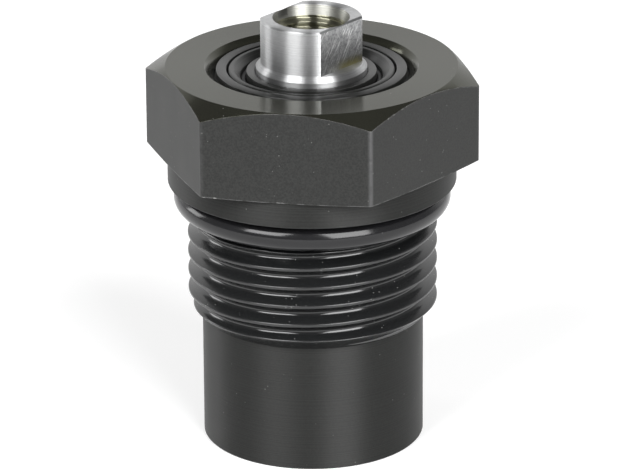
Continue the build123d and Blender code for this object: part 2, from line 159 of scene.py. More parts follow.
class RingSizes(bpy.types.PropertyGroup):
    """Sizes of the rings in the top recess and of the port O-ring."""

    gland_flange_height: length("Gland flange", "Height of the gland's wide part", 3.0)
    gland_neck_diameter: length("Gland neck", "Outside of the gland's neck", 17.8)
    gland_seal_section: length("Gland seal", "Section of the gland's O-ring", 1.1)
    gland_seal_height: length("Gland seal height", "Centre of that O-ring above the gland's foot", 1.4)
    gland_groove_spare: length("Gland groove", "Groove beyond each side of that O-ring", 0.1)
    gland_top_drop: length("Gland rim drop", "Gland's rim below the hexagon's top", 0.35)
    gland_top_edge: length("Gland rim edge", "Chamfer outside that rim", 0.15)
    gland_bevel: length("Gland bevel", "Chamfer from that rim down to the pocket", 0.73)
    scraper_pocket_diameter: length("Scraper pocket", "Pocket in the gland", 15.24)
    scraper_pocket_depth: length("Scraper pocket depth", "Depth of that pocket", 2.02)
    scraper_diameter: length("Scraper", "Outside of the scraper ring", 13.9)
    scraper_edge: length("Scraper edge", "Chamfer at the scraper's lip", 0.15)
    scraper_top_drop: length("Scraper drop", "Scraper's top below the hexagon's top", 0.58)
    energizer_top_drop: length("Energizer drop", "Rubber ring below the hexagon's top", 1.35)
    lock_ring_inside: length("Lock ring inside", "Inner diameter of the lock ring", 18.2)
    lock_ring_top_diameter: length("Lock ring top", "Outer diameter of its top face", 20.4)
    lock_ring_drop: length("Lock ring drop", "Lock ring below the hexagon's top", 0.34)
    seal_clearance: length("Seal clearance", "Radial gap round a seal", 0.02)
    running_clearance: length("Running clearance", "Radial gap between metal parts", 0.03)
    edge_break: length("Edge break", "Small rounding of the rings' edges", 0.05)


class PlungerSizes(bpy.types.PropertyGroup):
    """Sizes of the bright plunger."""

    shaft_diameter: length("Shaft", "Diameter of the ground shaft", 11.9)
    shoulder_height: length("Shoulder", "Height of the foot of the turned-down end", 42.35)
    end_diameter: length("End", "Diameter of the turned-down end", 10.86)
    end_chamfer: length("End chamfer", "Chamfer round the top", 0.12)
    flats_across: length("Across flats", "Width over the two wrench flats", 8.4)
    flats_angle: angle("Flats angle", "Direction of the first flat", -30)
    flats_corner: length("Flats corner", "Rounding at the foot of the flats", 0.35)
    shoulder_fillet: length("Shoulder fillet", "Hollow at the foot of the end", 0.3)
    flats_edge: length("Flats edge", "Rounding of the flats' upright edges", 0.42)
    flats_chamfer: length("Flats chamfer", "Chamfer along the top of the flats", 0.2)
    hole_diameter: length("Hole", "Thread crests of the tapped hole", 6.88)
    hole_thread_pitch: length("Hole thread pitch", "Rise of one turn", 25.4 / 24)
    hole_thread_length: length("Hole thread length", "Depth of the thread", 8.0)
    hole_crest_share: share("Hole crest share", "Width of that thread's crests, in pitches", 1 / 4)
    hole_crest_rounding: length("Hole crest rounding", "Rounding of that thread's crests", 0.05)
    hole_root_hollow: length("Hole root hollow", "Radius in that thread's roots", 0.159)
    hole_run_out: strength("Hole run-out", "How fast that thread grows from its foot, per height", 1.2)
    drill_depth: length("Drill depth", "Depth of the drilled hole", 9.0)
    drill_angle: angle("Drill angle", "Slope of the drilled hole's tip", 31)
    mouth_depth: length("Mouth depth", "Plain wall above the thread", 1.15)
    mouth_step: length("Mouth step", "Radial step out from the hole to that wall", 0.54)
    mouth_edge: length("Mouth edge", "Edge break on the rim of the tapped hole", 0.05)
    mouth_flare: length("Mouth flare", "Radial flare of that wall", 0.14)
    spring_bore_diameter: length("Spring bore", "Bore from below", 7.5)
    web_thickness: length("Web", "Between the drill point and the spring bore", 1.5)
    flange_diameter: length("Flange", "Flange at the plunger's foot", 13.4)
    flange_thickness: length("Flange thickness", "Height of that flange", 1.2)
    foot_chamfer: length("Foot chamfer", "Chamfer under the flange", 0.3)
    edge_break: length("Edge break", "Small rounding of the turned-down end's edges", 0.05)
    ring_groove_depth: length("Groove depth", "Depth of the snap ring groove", 0.4)
    ring_thickness: length("Ring thickness", "Thickness of the snap ring", 0.8)


class Colours(bpy.types.PropertyGroup):
    """Linear colours of the finishes."""

    oxide_dark: colour("Black oxide, dark", "Darkest grain of the black steel", (0.0035, 0.0038, 0.0033))
    oxide_pale: colour("Black oxide, pale", "Palest grain of the black steel", (0.014, 0.0145, 0.0135))
    oxide_faced: colour("Faced top", "Black steel on the faced top of the hexagon", (0.012, 0.012, 0.0095))
    faced_sheen: colour("Faced sheen", "Tint of the reflections in the faced top", (0.98, 1.0, 0.7))
    oxide_thread: colour("Oiled thread", "Black steel in the thread", (0.008, 0.0085, 0.0088))
    # Rubbed edges; also the colour of the painted highlight on the hexagon's corners
    worn_edge_and_highlight: colour("Worn edge", "Black steel rubbed on its edges", (0.12, 0.12, 0.122))
    dust: colour("Dust", "Dust and light scratches", (0.3, 0.3, 0.29))
    steel: colour("Bright steel", "Turned and ground plunger", (0.6, 0.605, 0.61))
    steel_dark: colour("Ground steel, dark", "Dark grain of the wrench flats", (0.2, 0.2, 0.21))
    steel_warm: colour("Oiled bore", "Oily steel inside the tapped hole", (0.29, 0.285, 0.215))
    steel_mouth: colour("Mouth steel", "Oily steel in the mouth of the tapped hole", (0.31, 0.31, 0.285))
    stain: colour("Oil stain", "Old oil at the foot of the wrench flats", (0.3, 0.27, 0.1))
    rubber: colour("Rubber", "Seals", (0.008, 0.008, 0.009))
    rubber_bloom: colour("Rubber bloom", "Bloom and specks on the seals", (0.1, 0.1, 0.1))
    inner_steel: colour("Ground steel", "Inner pistons", (0.5, 0.5, 0.51))
    spring_steel: colour("Spring steel", "Springs and snap rings", (0.36, 0.36, 0.38))
    bronze: colour("Bronze", "Collet", (0.5, 0.34, 0.16))
    sintered: colour("Sintered bronze", "Filter", (0.42, 0.3, 0.16))
    plastic: colour("Backup rings", "Filled plastic", (0.72, 0.71, 0.65))


class StageSettings(bpy.types.PropertyGroup):
    """Camera, floor, lamps and surroundings."""

    azimuth: angle("Azimuth", "Camera's turn round the part", 10.16)
    elevation: angle("Elevation", "Camera's height above the horizon", 21.33)
    roll: angle("Roll", "Camera's lean", -0.35)
    distance: length("Distance", "Camera to its target", 561.2)
    target_height: length("Target", "Height the camera looks at", 22.0)
    lens: strength("Lens", "Focal length in millimetres", 299.3)
    shift: strength("Shift", "Upward shift of the view", 0.0062)
    floor_size: length("Floor", "Side of the floor", 6000.0)
    floor_drop: length("Floor drop", "Gap between the floor and the part", 0.01)
    floor_shade: share("Floor shade", "Grey of the floor", 0.7)
    floor_glow: share("Floor glow", "Light of the floor itself, for the camera and reflections", 0.4)
    far_glow: share("Far glow", "More such light far out, for the camera only", 0.5)
    far_start: length("Far start", "Radius where that light starts", 100.0)
    far_full: length("Far full", "Radius where that light is full", 400.0)
    lamp_reach: length("Lamp reach", "Distance from the target to the lamps", 900.0)
    lamp_level: strength("Lamp level", "Radiance of the soft boxes", 9.0)
    ambient: strength("Ambient", "Level of the surroundings", 0.12)
    ambient_low: strength("Low ambient", "Share added to that level towards the horizon", 1.6)
    backdrop_glow: strength("Backdrop", "Light of the backdrop behind the part", 0.35)
    backdrop_side: share("Backdrop side", "Where the backdrop starts, from the side to straight behind", 0.35)
    backdrop_middle: share("Backdrop middle", "Where the backdrop is full", 0.8)
    backdrop_top: share("Backdrop top", "Height where the backdrop ends, as a share of the zenith", 0.75)
    backdrop_foot: share("Backdrop foot", "Height under which the backdrop is full", 0.5)


# ---- Mesh helpers ----------------------------------------------------------------------
def heading(bearing):
    """Unit vector at an angle from +X about Z."""
    return Matrix.Rotation(bearing, 3, "Z") @ Vector((1, 0, 0))


def radius_of(point):
    """Distance from the Z axis."""
    return math.hypot(point.x, point.y)


def radii_of(edge):
    """Distances of an edge's ends from the Z axis, the smaller first."""
    return sorted(radius_of(corner.co) for corner in edge.verts)


def rise_of(edge):
    """Height between an edge's ends."""
    return abs(edge.verts[0].co.z - edge.verts[1].co.z)


def sweep(bm, points, closed, rise=0.0):
    """Carry a chain of (radius, height) points once round Z, up by rise at every step."""
    corners = [bm.verts.new((radius, 0.0, height)) for radius, height in points]
    edges = [bm.edges.new(pair) for pair in zip(corners, corners[1:])]
    if closed:
        edges.append(bm.edges.new((corners[-1], corners[0])))
    bmesh.ops.spin(
        bm,
        geom=corners + edges,
        cent=(0, 0, 0),
        axis=AXIS,
        dvec=(0, 0, rise),
        angle=math.tau,
        steps=TURN_STEPS,
        use_merge=rise == 0.0,
        use_normal_flip=False,
        use_duplicate=False,
    )


def weld(bm, within=math.inf):
    """Merge corners that lie together, up to a radius, and drop faces without an area."""
    corners = [corner for corner in bm.verts if radius_of(corner.co) < within]
    bmesh.ops.remove_doubles(bm, verts=corners, dist=WELD)
    edges = [edge for edge in bm.edges if radii_of(edge)[1] < within]
    bmesh.ops.dissolve_degenerate(bm, edges=edges, dist=WELD / 10)


def turn(points, closed=True, bm=None):
    """Spin an outline of (radius, height) points about Z."""
    bm = bm or bmesh.new()
    sweep(bm, points, closed)
    weld(bm)
    return bm


def join(bm, other):
    """Move everything from another mesh in the making into this one."""
    part = bpy.data.meshes.new("joined_part")
    other.to_mesh(part)
    other.free()
    bm.from_mesh(part)
    bpy.data.meshes.remove(part)


def thread_profile(crest, outward, pitch, crest_share, rounding, hollow):
    """One pitch of a 60 degree thread, as (radius, rise) from the middle of a root.

    crest is a radius; outward is 1 on a rod and -1 in a hole. rounding is the radius
    on the crests' edges and hollow the radius in the roots.
    """
    flank = math.radians(30)
    flat = crest_share * pitch / 2
    edge = pitch / 2 - flat
    foot = hollow * math.cos(flank)
    base = crest - outward * (edge - foot) / math.tan(flank)
    soft = min(rounding, flat)
    half = [
        (base - outward * hollow / 2 * (1 - part**2), part * foot)
        for part in (0, 1 / 6, 1 / 3, 1 / 2, 2 / 3, 5 / 6, 1)
    ]
    half += [
        (base + (crest - base) * part, foot + (edge - foot) * part) for part in (0.2, 0.4, 0.6, 0.8)
    ]
    half += [
        (crest - outward * soft * drop, edge + soft * along)
        for drop, along in ((0.9, -0.55), (0.28, 0.05), (0.04, 0.5), (0, 1))
    ]
    other_half = [(radius, pitch - rise) for radius, rise in reversed(half)]
    if flat - soft < SAME:
        other_half = other_half[1:]
    return half + other_half


def wind_thread(profile, pitch, start, end, low, high, limit):
    """Wind one pitch of thread profile up a helix, from start until it has passed end.

    Its corners are then moved to between the heights low and high, and to the radius
    that limit(radius, height) gives.
    """
    one = bmesh.new()
    sweep(one, [(radius, start + rise) for radius, rise in profile], False, pitch / TURN_STEPS)
    part = bpy.data.meshes.new("one_turn")
    one.to_mesh(part)
    one.free()
    bm = bmesh.new()
    for _ in range(math.ceil((end - start) / pitch)):
        bm.from_mesh(part)
        part.transform(Matrix.Translation((0, 0, pitch)))
    bpy.data.meshes.remove(part)
    weld(bm)
    for corner in bm.verts:
        radius = radius_of(corner.co)
        height = min(max(corner.co.z, low), high)
        scale = limit(radius, height) / radius
        corner.co = Vector((corner.co.x * scale, corner.co.y * scale, height))
    weld(bm)
    return bm


def sharp_edges(bm, least=22.0, keep=lambda middle: True):
    """Edges that bend by more than this many degrees, where keep(middle) holds."""
    limit = math.radians(least)
    return [
        edge
        for edge in bm.edges
        if len(edge.link_faces) == 2
        and edge.calc_face_angle(0.0) > limit
        and keep((edge.verts[0].co + edge.verts[1].co) / 2)
    ]


def ease(bm, edges, offset, segments=2):
    """Round these edges a little."""
    bmesh.ops.bevel(
        bm,
        geom=edges,
        offset=offset,
        offset_type="OFFSET",
        segments=segments,
        profile=0.5,
        affect="EDGES",
        clamp_overlap=True,
        material=-1,
    )


def cut(bm, faces, point, normal, clear):
    """Cut faces by a plane, with or without clearing what lies beyond; gives the cut's edges."""
    made = bmesh.ops.bisect_plane(
        bm,
        geom=list({part for face in faces for part in (*face.verts, *face.edges)}) + faces,
        dist=WELD / 4,
        plane_co=point,
        plane_no=normal,
        clear_outer=clear,
    )
    return [part for part in made["geom_cut"] if isinstance(part, bmesh.types.BMEdge)]


def slice_off(bm, point, normal):
    """Cut away what lies beyond a plane and close the cut."""
    rim = cut(bm, bm.faces[:], point, normal, True)
    bmesh.ops.contextual_create(bm, geom=rim)


def finish_piece(bm, name, body, node, finishes, pick=None):
    """Make the object, dress it, hang it under its body and hide the solid it stands for.

    pick(middle, normal) gives the number of a face's finish.
    """
    bmesh.ops.recalc_face_normals(bm, faces=bm.faces[:])
    mesh = bpy.data.meshes.new(name)
    bm.to_mesh(mesh)
    bm.free()
    for finish in finishes:
        mesh.materials.append(finish)
    if pick:
        for face in mesh.polygons:
            face.material_index = pick(face.center, face.normal)
    mesh.shade_smooth()
    piece = bpy.data.objects.new(name, mesh)
    bpy.context.scene.collection.objects.link(piece)
    weighted = piece.modifiers.new("Even shading", "WEIGHTED_NORMAL")
    weighted.weight = 80
    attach(piece, body)
    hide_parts(node)


# ---- Material helpers ------------------------------------------------------------------
class Signal:
    """An output socket that can be used in Python expressions."""

    def __init__(self, nodes, socket):
        self.nodes = nodes
        self.socket = socket

    def math(self, operation, *values, clamp=False):
        """The result of a Math node."""
        settings = {"operation": operation, "use_clamp": clamp}
        return self.nodes.node("ShaderNodeMath", settings, dict(enumerate(values)))

    def __add__(self, other):
        return self.math("ADD", self, other)

    __radd__ = __add__

    def __sub__(self, other):
        return self.math("SUBTRACT", self, other)

    def __rsub__(self, other):
        return self.math("SUBTRACT", other, self)

    def __mul__(self, other):
        return self.math("MULTIPLY", self, other)

    __rmul__ = __mul__

    def __pow__(self, other):
        return self.math("POWER", self, other)

    def clipped(self):
        """The same value, kept between 0 and 1."""
        return self.math("ADD", self, 0.0, clamp=True)


def plug(slot, value):
    """Link a signal to an input, or set the input to a plain value."""
    if isinstance(value, Signal):
        slot.id_data.links.new(value.socket, slot)
    elif slot.type == "RGBA":
        slot.default_value = (*value, 1.0)
    else:
        slot.default_value = value


def shaded(tint, share_left):
    """The same colour, darkened to a share of its light."""
    return tuple(share_left * part for part in tint)


class Nodes:
    """A node tree that is filled from Python."""

    def __init__(self, tree):
        self.tree = tree
        tree.nodes.clear()

    def node(self, kind, settings=None, values=None, output=0):
        """Add a node: its settings first, then the values or links of its inputs.

        Gives the signal of one output, a list of them for a tuple, or nothing for None.
        """
        node = self.tree.nodes.new(kind)
        for key, value in (settings or {}).items():
            setattr(node, key, value)
        for key, value in (values or {}).items():
            plug(node.inputs[key], value)
        if output is None:
            return None
        if isinstance(output, tuple):
            return [Signal(self, node.outputs[name]) for name in output]
        return Signal(self, node.outputs[output])

    def parts(self, vector):
        """The x, y and z of a vector."""
        return self.node("ShaderNodeSeparateXYZ", None, {"Vector": vector}, ("X", "Y", "Z"))

    def rays(self):
        """1 for a ray from the camera, a reflection or a refraction, in that order."""
        kinds = ("Is Camera Ray", "Is Glossy Ray", "Is Transmission Ray")
        return self.node("ShaderNodeLightPath", output=kinds)

    def step(self, value, low, high):
        """0 at low, 1 at high, smooth between them; low may be above high."""
        return self.node(
            "ShaderNodeMapRange",
            {"interpolation_type": "SMOOTHSTEP"},
            {"Value": value, "From Min": low, "From Max": high},
        )


class Finish(Nodes):
    """A procedural material in Object coordinates, which are metres here."""

    def __init__(self, name):
        self.material = bpy.data.materials.new(name)
        self.material.use_nodes = True
        super().__init__(self.material.node_tree)
        self.place = self.node("ShaderNodeTexCoord", output="Object")
        self.x, self.y, self.z = self.parts(self.place)
        self.radius = (self.x * self.x + self.y * self.y) ** 0.5

    def towards(self, bearing):
        """How far a point lies out at a bearing, an angle from +X about Z."""
        out = heading(bearing)
        return self.x * out.x + self.y * out.y

    def stretched(self, scale, rotation=(0.0, 0.0, 0.0)):
        """Object coordinates, drawn out and turned for a pattern that runs one way."""
        return self.node(
            "ShaderNodeMapping",
            {"vector_type": "TEXTURE"},
            {"Vector": self.place, "Rotation": rotation, "Scale": scale},
        )

    def noise(self, scale, detail=2.0, roughness=0.5, vector=None):
        """Cloudy noise; scale is the number of cells in a metre."""
        return self.node(
            "ShaderNodeTexNoise",
            {"noise_dimensions": "3D"},
            {"Vector": vector or self.place, "Scale": scale, "Detail": detail, "Roughness": roughness},
        )

    def patches(self, scale, low, high):
        """Cloudy noise with its contrast raised: 0 under low, 1 over high."""
        return self.step(self.noise(scale), low, high)

    def lines(self, along, scale):
        """Fine lines that follow one value, such as the radius or the height."""
        return self.node(
            "ShaderNodeTexNoise",
            {"noise_dimensions": "1D"},
            {"W": along * scale, "Scale": 1.0, "Detail": 3.0, "Roughness": 0.6},
        )

    def blend(self, mask, first, second):
        """Mix two colours: first where the mask is 0, second where it is 1."""
        factor, colour_a, colour_b, result = 0, 6, 7, 2
        return self.node(
            "ShaderNodeMix",
            {"data_type": "RGBA"},
            {factor: mask, colour_a: first, colour_b: second},
            result,
        )

    def edge_wear(self, reach):
        """1 on edges and corners, from how far a rounded normal leans from the plain one."""
        rounded = self.node("ShaderNodeBevel", {"samples": 6}, {"Radius": reach})
        plain = self.node("ShaderNodeNewGeometry", output="Normal")
        product = {"operation": "DOT_PRODUCT"}
        lean = self.node("ShaderNodeVectorMath", product, {0: rounded, 1: plain}, "Value")
        return self.step(1.0 - lean, 0.005, 0.06)

    def specks(self, scale, size):
        """Sparse dust specks; scale is the number of cells in a metre, size in cells."""
        distance = self.node(
            "ShaderNodeTexVoronoi", {"feature": "F1"}, {"Vector": self.place, "Scale": scale}, "Distance"
        )
        chosen = self.step(self.noise(scale * 0.3, 0.0), 0.55, 0.6)
        return (1.0 - self.step(distance, size * 0.5, size)) * chosen

    def bump(self, height, distance, amount):
        """Normals that stand up and down with a height between 0 and 1."""
        values = {"Height": height, "Distance": distance, "Strength": amount}
        return self.node("ShaderNodeBump", None, values)

    def surface(self, shader):
        """Make this shader the material's surface."""
        self.node("ShaderNodeOutputMaterial", None, {"Surface": shader}, None)
        return self.material

    def shade(self, **sockets):
        """Finish with the main shader; a name is its socket's, with _ for a space."""
        values = {name.replace("_", " "): value for name, value in sockets.items()}
        return self.surface(self.node("ShaderNodeBsdfPrincipled", None, values))


# ---- Finishes --------------------------------------------------------------------------
def oxide_flat(body, colours):
    """Milled flats of the hexagon: satin, faintly grainy, with worn edges and a painted highlight along the
    rounded corners.
    """
    made = Finish("black_oxide_milled")
    grain = made.noise(5200.0, 3.0, 0.65)
    cloud = made.noise(260.0)
    edges = made.edge_wear(0.22 * MM) * made.patches(900.0, 0.35, 0.6)
    corner_radius = body.hex_across_flats / math.sqrt(3)
    # A light band on the rounding of each corner: painted highlight
    corners = made.step(made.radius, corner_radius - 0.23 * MM, corner_radius + 0.02 * MM)
    # Corners away from the most highlit one keep a quarter of the painted highlight.
    highlit_corner_share = 0.25 + 0.75 * made.step(made.towards(HIGHLIT_CORNER), 14 * MM, 17 * MM)
    # wear is real edge wear plus the painted corner highlight
    wear = (0.8 * edges + 0.6 * corners * made.patches(900.0, 0.1, 0.5) * highlit_corner_share).clipped()
    front = made.step(made.towards(FRONT), 9 * MM, 13 * MM)
    nicks = made.edge_wear(0.3 * MM) * made.specks(1600.0, 0.4) * front
    tone = made.blend(made.step(grain, 0.35, 0.65), colours.oxide_dark, colours.oxide_pale)
    tone = made.blend(wear, tone, colours.worn_edge_and_highlight)
    tone = made.blend(0.35 * made.specks(1500.0, 0.12), tone, colours.dust)
    tone = made.blend(nicks, tone, colours.dust)
    return made.shade(
        Base_Color=tone,
        Roughness=0.4 + 0.16 * grain + 0.06 * cloud - 0.12 * wear,
        Normal=made.bump(grain + 0.4 * made.noise(14000.0), 0.006 * MM, 0.5),
        IOR=1.45,
    )


def oxide_turned(colours, name, rough, along, tint=None, sheen=WHITE):
    """Turned black steel; its fine lines follow the "radius" on a face, "z" on a side."""
    made = Finish(name)
    rings = made.lines(getattr(made, along), 9000.0)
    cloud = made.noise(300.0)
    wear = made.edge_wear(0.14 * MM) * made.patches(700.0, 0.4, 0.65)
    grain = made.step(0.35 * made.noise(5200.0, 3.0, 0.65) + 0.65 * rings, 0.35, 0.65)
    tone = made.blend(grain, tint or colours.oxide_dark, tint or colours.oxide_pale)
    tone = made.blend(0.6 * wear, tone, colours.worn_edge_and_highlight)
    tone = made.blend(0.3 * made.specks(1200.0, 0.1), tone, colours.dust)
    return made.shade(
        Base_Color=tone,
        Roughness=rough + 0.06 * rings + 0.05 * cloud,
        Normal=made.bump(rings, 0.0016 * MM, 0.5),
        IOR=1.45,
        Specular_Tint=sheen,
        Anisotropic=0.9,
        Anisotropic_Rotation=QUARTER_TURN,
    )


def oxide_thread(body, colours):
    """Oiled black thread: near black, glossy, with dust on its crests."""
    made = Finish("black_oxide_thread")
    crest_radius = body.thread_diameter / 2
    flank, crest = crest_radius - 0.16 * MM, crest_radius - 0.01 * MM
    crests = made.step(made.radius, flank, crest)
    tone = made.blend(0.04 * crests, colours.oxide_thread, colours.worn_edge_and_highlight)
    tone = made.blend(0.45 * made.specks(1800.0, 0.16), tone, colours.dust)
    flanks = made.step(made.radius, crest_radius - 0.96 * MM, flank)
    return made.shade(
        Base_Color=tone,
        Roughness=0.1 + 0.06 * made.noise(500.0, 3.0) + 0.12 * flanks,
        Normal=made.bump(made.lines(made.z, 5000.0), 0.001 * MM, 0.4),
        IOR=1.6,
    )


def steel_turned(name, tint, rough, stretch=1.0):
    """Bright turned steel with fine lines round it; stretch draws highlights out along Z."""
    made = Finish(name)
    lines = made.lines(made.z, 8000.0)
    short = made.noise(5000.0, 3.0, 0.7, made.stretched((3.0, 3.0, 0.5)))
    grain = 0.5 * lines + 0.5 * short
    return made.shade(
        Base_Color=made.blend(0.6 * made.step(grain, 0.3, 0.7), tint, shaded(tint, 0.62)),
        Metallic=1.0,
        Roughness=rough + 0.16 * (grain - 0.4),
        Normal=made.bump(grain, 0.004 * MM, 0.5),
        Anisotropic=stretch,
        Anisotropic_Rotation=QUARTER_TURN,
    )


def steel_ground(plunger, colours):
    """Ground wrench flats: grey steel with slanted scratches and old oil at their foot."""
    made = Finish("bright_steel_ground")
    slant = made.stretched((1.0, 1.0, 14.0), (math.radians(-35), 0.0, plunger.flats_angle))
    scratches = made.noise(6500.0, 4.0, 0.75, slant)
    bright = made.step(scratches, 0.52, 0.62) * made.patches(700.0, 0.38, 0.6)
    cloud = made.step(made.noise(3200.0, 4.0, 0.7), 0.35, 0.65)
    tone = made.blend(0.75 * cloud, shaded(colours.steel, 0.9), colours.steel_dark)
    tone = made.blend(bright, tone, WHITE)
    foot = plunger.shoulder_height
    low = 1.0 - made.step(made.z, foot + 0.25 * MM, foot + 1.35 * MM)
    one_end = made.step(made.towards(plunger.flats_angle + math.pi / 2), -3 * MM, 1 * MM)
    stain = low * one_end * made.patches(400.0, 0.2, 0.5)
    return made.shade(
        Base_Color=made.blend(0.8 * stain, tone, colours.stain),
        Metallic=1.0,
        Roughness=0.34 + 0.14 * scratches - 0.1 * bright,
        Normal=made.bump(scratches, 0.008 * MM, 0.8),
    )


def rubber(colours, name, rough):
    """Seal rubber with a faint mould bloom."""
    made = Finish(name)
    cloud = made.noise(350.0, 3.0)
    bloom = (0.5 * made.specks(650.0, 0.06) + 0.02 * cloud).clipped()
    return made.shade(
        Base_Color=made.blend(bloom, colours.rubber, colours.rubber_bloom),
        Roughness=rough + 0.1 * cloud,
        Normal=made.bump(made.noise(2500.0), 0.004 * MM, 0.3),
        IOR=1.46,
    )


def plain_metal(name, tint, rough, line_scale=5000.0):
    """Machined metal of the inner pieces, with fine turning lines."""
    made = Finish(name)
    lines = made.lines(made.z + made.radius, line_scale)
    return made.shade(
        Base_Color=made.blend(0.5 * made.noise(400.0, 3.0), tint, shaded(tint, 0.8)),
        Metallic=1.0,
        Roughness=rough + 0.12 * lines,
        Normal=made.bump(lines, 0.002 * MM, 0.4),
    )


def grainy(name, tint, rough, metallic, scale):
    """Sintered metal or filled plastic, with a grain."""
    made = Finish(name)
    grain = made.noise(scale, 3.0, 0.6)
    return made.shade(
        Base_Color=made.blend(grain, tint, shaded(tint, 0.7)),
        Metallic=metallic,
        Roughness=rough + 0.15 * grain,
        Normal=made.bump(grain, 0.02 * MM, 0.6),
    )


# ---- Operators -------------------------------------------------------------------------
class CARTRIDGE_OT_body(bpy.types.Operator):
    """Make the black body: nose, port thread, collar, hexagon and bores."""

    bl_idname = "cartridge.body"
    bl_label = "Body"

    def execute(self, context):
        scene = context.scene
        body, bore, colours = scene.cartridge_body, scene.cartridge_bore, scene.cartridge_colours
        nose_radius = body.nose_diameter / 2
        cone_foot = nose_radius + body.thread_lead_in_step
        undercut_radius = body.undercut_diameter / 2
        collar_radius = body.collar_diameter / 2
        thread_bottom = body.nose_length
        thread_top = thread_bottom + body.thread_length
        seat = thread_top + body.undercut_length
        collar_top = seat + body.collar_length
        hex_top = collar_top + body.hex_height
        half_width = body.hex_across_flats / 2
        # The hexagon is turned a little past its corners, which the flats then cut.
        beyond = body.hex_across_flats / math.sqrt(3) + body.hex_corner_radius
        top_circle = body.hex_top_circle / 2
        bottom_circle = body.hex_bottom_circle / 2
        gland_bore_radius = bore.gland_bore_diameter / 2
        recess_radius = gland_bore_radius + bore.recess_width
        main_radius = bore.main_bore_diameter / 2
        gland_bottom = hex_top - bore.gland_bore_depth
        pocket_radius = bore.filter_pocket_diameter / 2
        groove_radius = pocket_radius + bore.ring_groove_depth
        groove_top = bore.floor_thickness - bore.ring_inset
        groove_bottom = groove_top - bore.ring_thickness
        pocket_bottom = bore.floor_thickness - bore.filter_pocket_depth
        inlet_radius = bore.inlet_diameter / 2
        outline = [
            (undercut_radius, thread_top),
            (undercut_radius, seat),
            (collar_radius - body.collar_edge, seat),
            (collar_radius, seat + body.collar_edge),
            (collar_radius, collar_top),
            (bottom_circle, collar_top),
            (beyond, collar_top + (beyond - bottom_circle) * math.tan(body.hex_bottom_angle)),
            (beyond, hex_top - (beyond - top_circle) * math.tan(body.hex_top_angle)),
            (top_circle, hex_top),
            (recess_radius, hex_top),
            (gland_bore_radius, hex_top - bore.recess_depth),
            (gland_bore_radius, gland_bottom),
            (main_radius, gland_bottom),
            (main_radius, bore.floor_thickness),
            (pocket_radius, bore.floor_thickness),
            (pocket_radius, groove_top),
            (groove_radius, groove_top),
            (groove_radius, groove_bottom),
            (pocket_radius, groove_bottom),
            (pocket_radius, pocket_bottom),
            (inlet_radius, pocket_bottom),
            (inlet_radius, 0.0),
            (nose_radius - body.nose_edge, 0.0),
            (nose_radius, body.nose_edge),
            (nose_radius, thread_bottom),
            (cone_foot, thread_bottom),
        ]
        bm = turn(outline, closed=False)
        for side in range(6):
            outward = heading(math.radians(30 + 60 * side))
            slice_off(bm, outward * half_width, outward)
        corners = [
            edge
            for edge in bm.edges
            if radii_of(edge)[0] > half_width + 2 * MARGIN and rise_of(edge) > body.hex_height / 2
        ]
        ease(bm, corners, body.hex_corner_radius * math.tan(math.radians(30)), 4)

        def outside(middle):
            return radius_of(middle) > main_radius + 2 * MARGIN

        ease(bm, sharp_edges(bm, 12.0, outside), body.edge_break)

        pitch = body.thread_pitch
        crest = body.thread_diameter / 2
        profile = thread_profile(
            crest, 1, pitch, body.crest_share, body.crest_rounding, body.root_hollow
        )
        lead_slope = (crest - cone_foot) / body.thread_lead_in
        run_slope = (crest - undercut_radius) / body.thread_run_out

        def limit(radius, height):
            lead_in = cone_foot + (height - thread_bottom) * lead_slope
            run_out = undercut_radius + (thread_top - height) * run_slope
            return min(radius, lead_in, run_out)

        start = thread_bottom - (1 + body.thread_phase) * pitch
        join(bm, wind_thread(profile, pitch, start, thread_top, thread_bottom, thread_top, limit))
        weld(bm)
        milled, faced, turned, threaded = range(4)

        def pick(middle, normal):
            if middle.z < thread_bottom:
                return turned
            if middle.z < seat - SAME:
                return threaded
            if middle.z < collar_top - SAME:
                return turned
            on_side = abs(normal.z) < 0.1 and radius_of(middle) > recess_radius + MARGIN
            return milled if on_side else faced

        oily = (colours.oxide_faced, colours.faced_sheen)
        finishes = [
            oxide_flat(body, colours),
            oxide_turned(colours, "black_oxide_faced", 0.115, "radius", *oily),
            oxide_turned(colours, "black_oxide_turned", 0.5, "z"),
            oxide_thread(body, colours),
        ]
        finish_piece(bm, "body_shell", "housing", "body", finishes, pick)
        return {"FINISHED"}


class CARTRIDGE_OT_port_o_ring(bpy.types.Operator):
    """Make the glossy O-ring under the collar."""

    bl_idname = "cartridge.port_o_ring"
    bl_label = "Port O-ring"

    def execute(self, context):
        colours = context.scene.cartridge_colours
        low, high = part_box("port_o_ring")
        section = (high.z - low.z) / 2
        centre = high.x - section
        middle = (high.z + low.z) / 2
        facets = 40
        bearings = [math.tau * facet / facets for facet in range(facets)]
        bm = turn(
            [
                (centre + section * math.cos(bearing), middle + section * math.sin(bearing))
                for bearing in bearings
            ]
        )
        finish = rubber(colours, "seal_rubber", 0.1)
        finish_piece(bm, "port_seal", "housing", "port_o_ring", [finish])
        return {"FINISHED"}


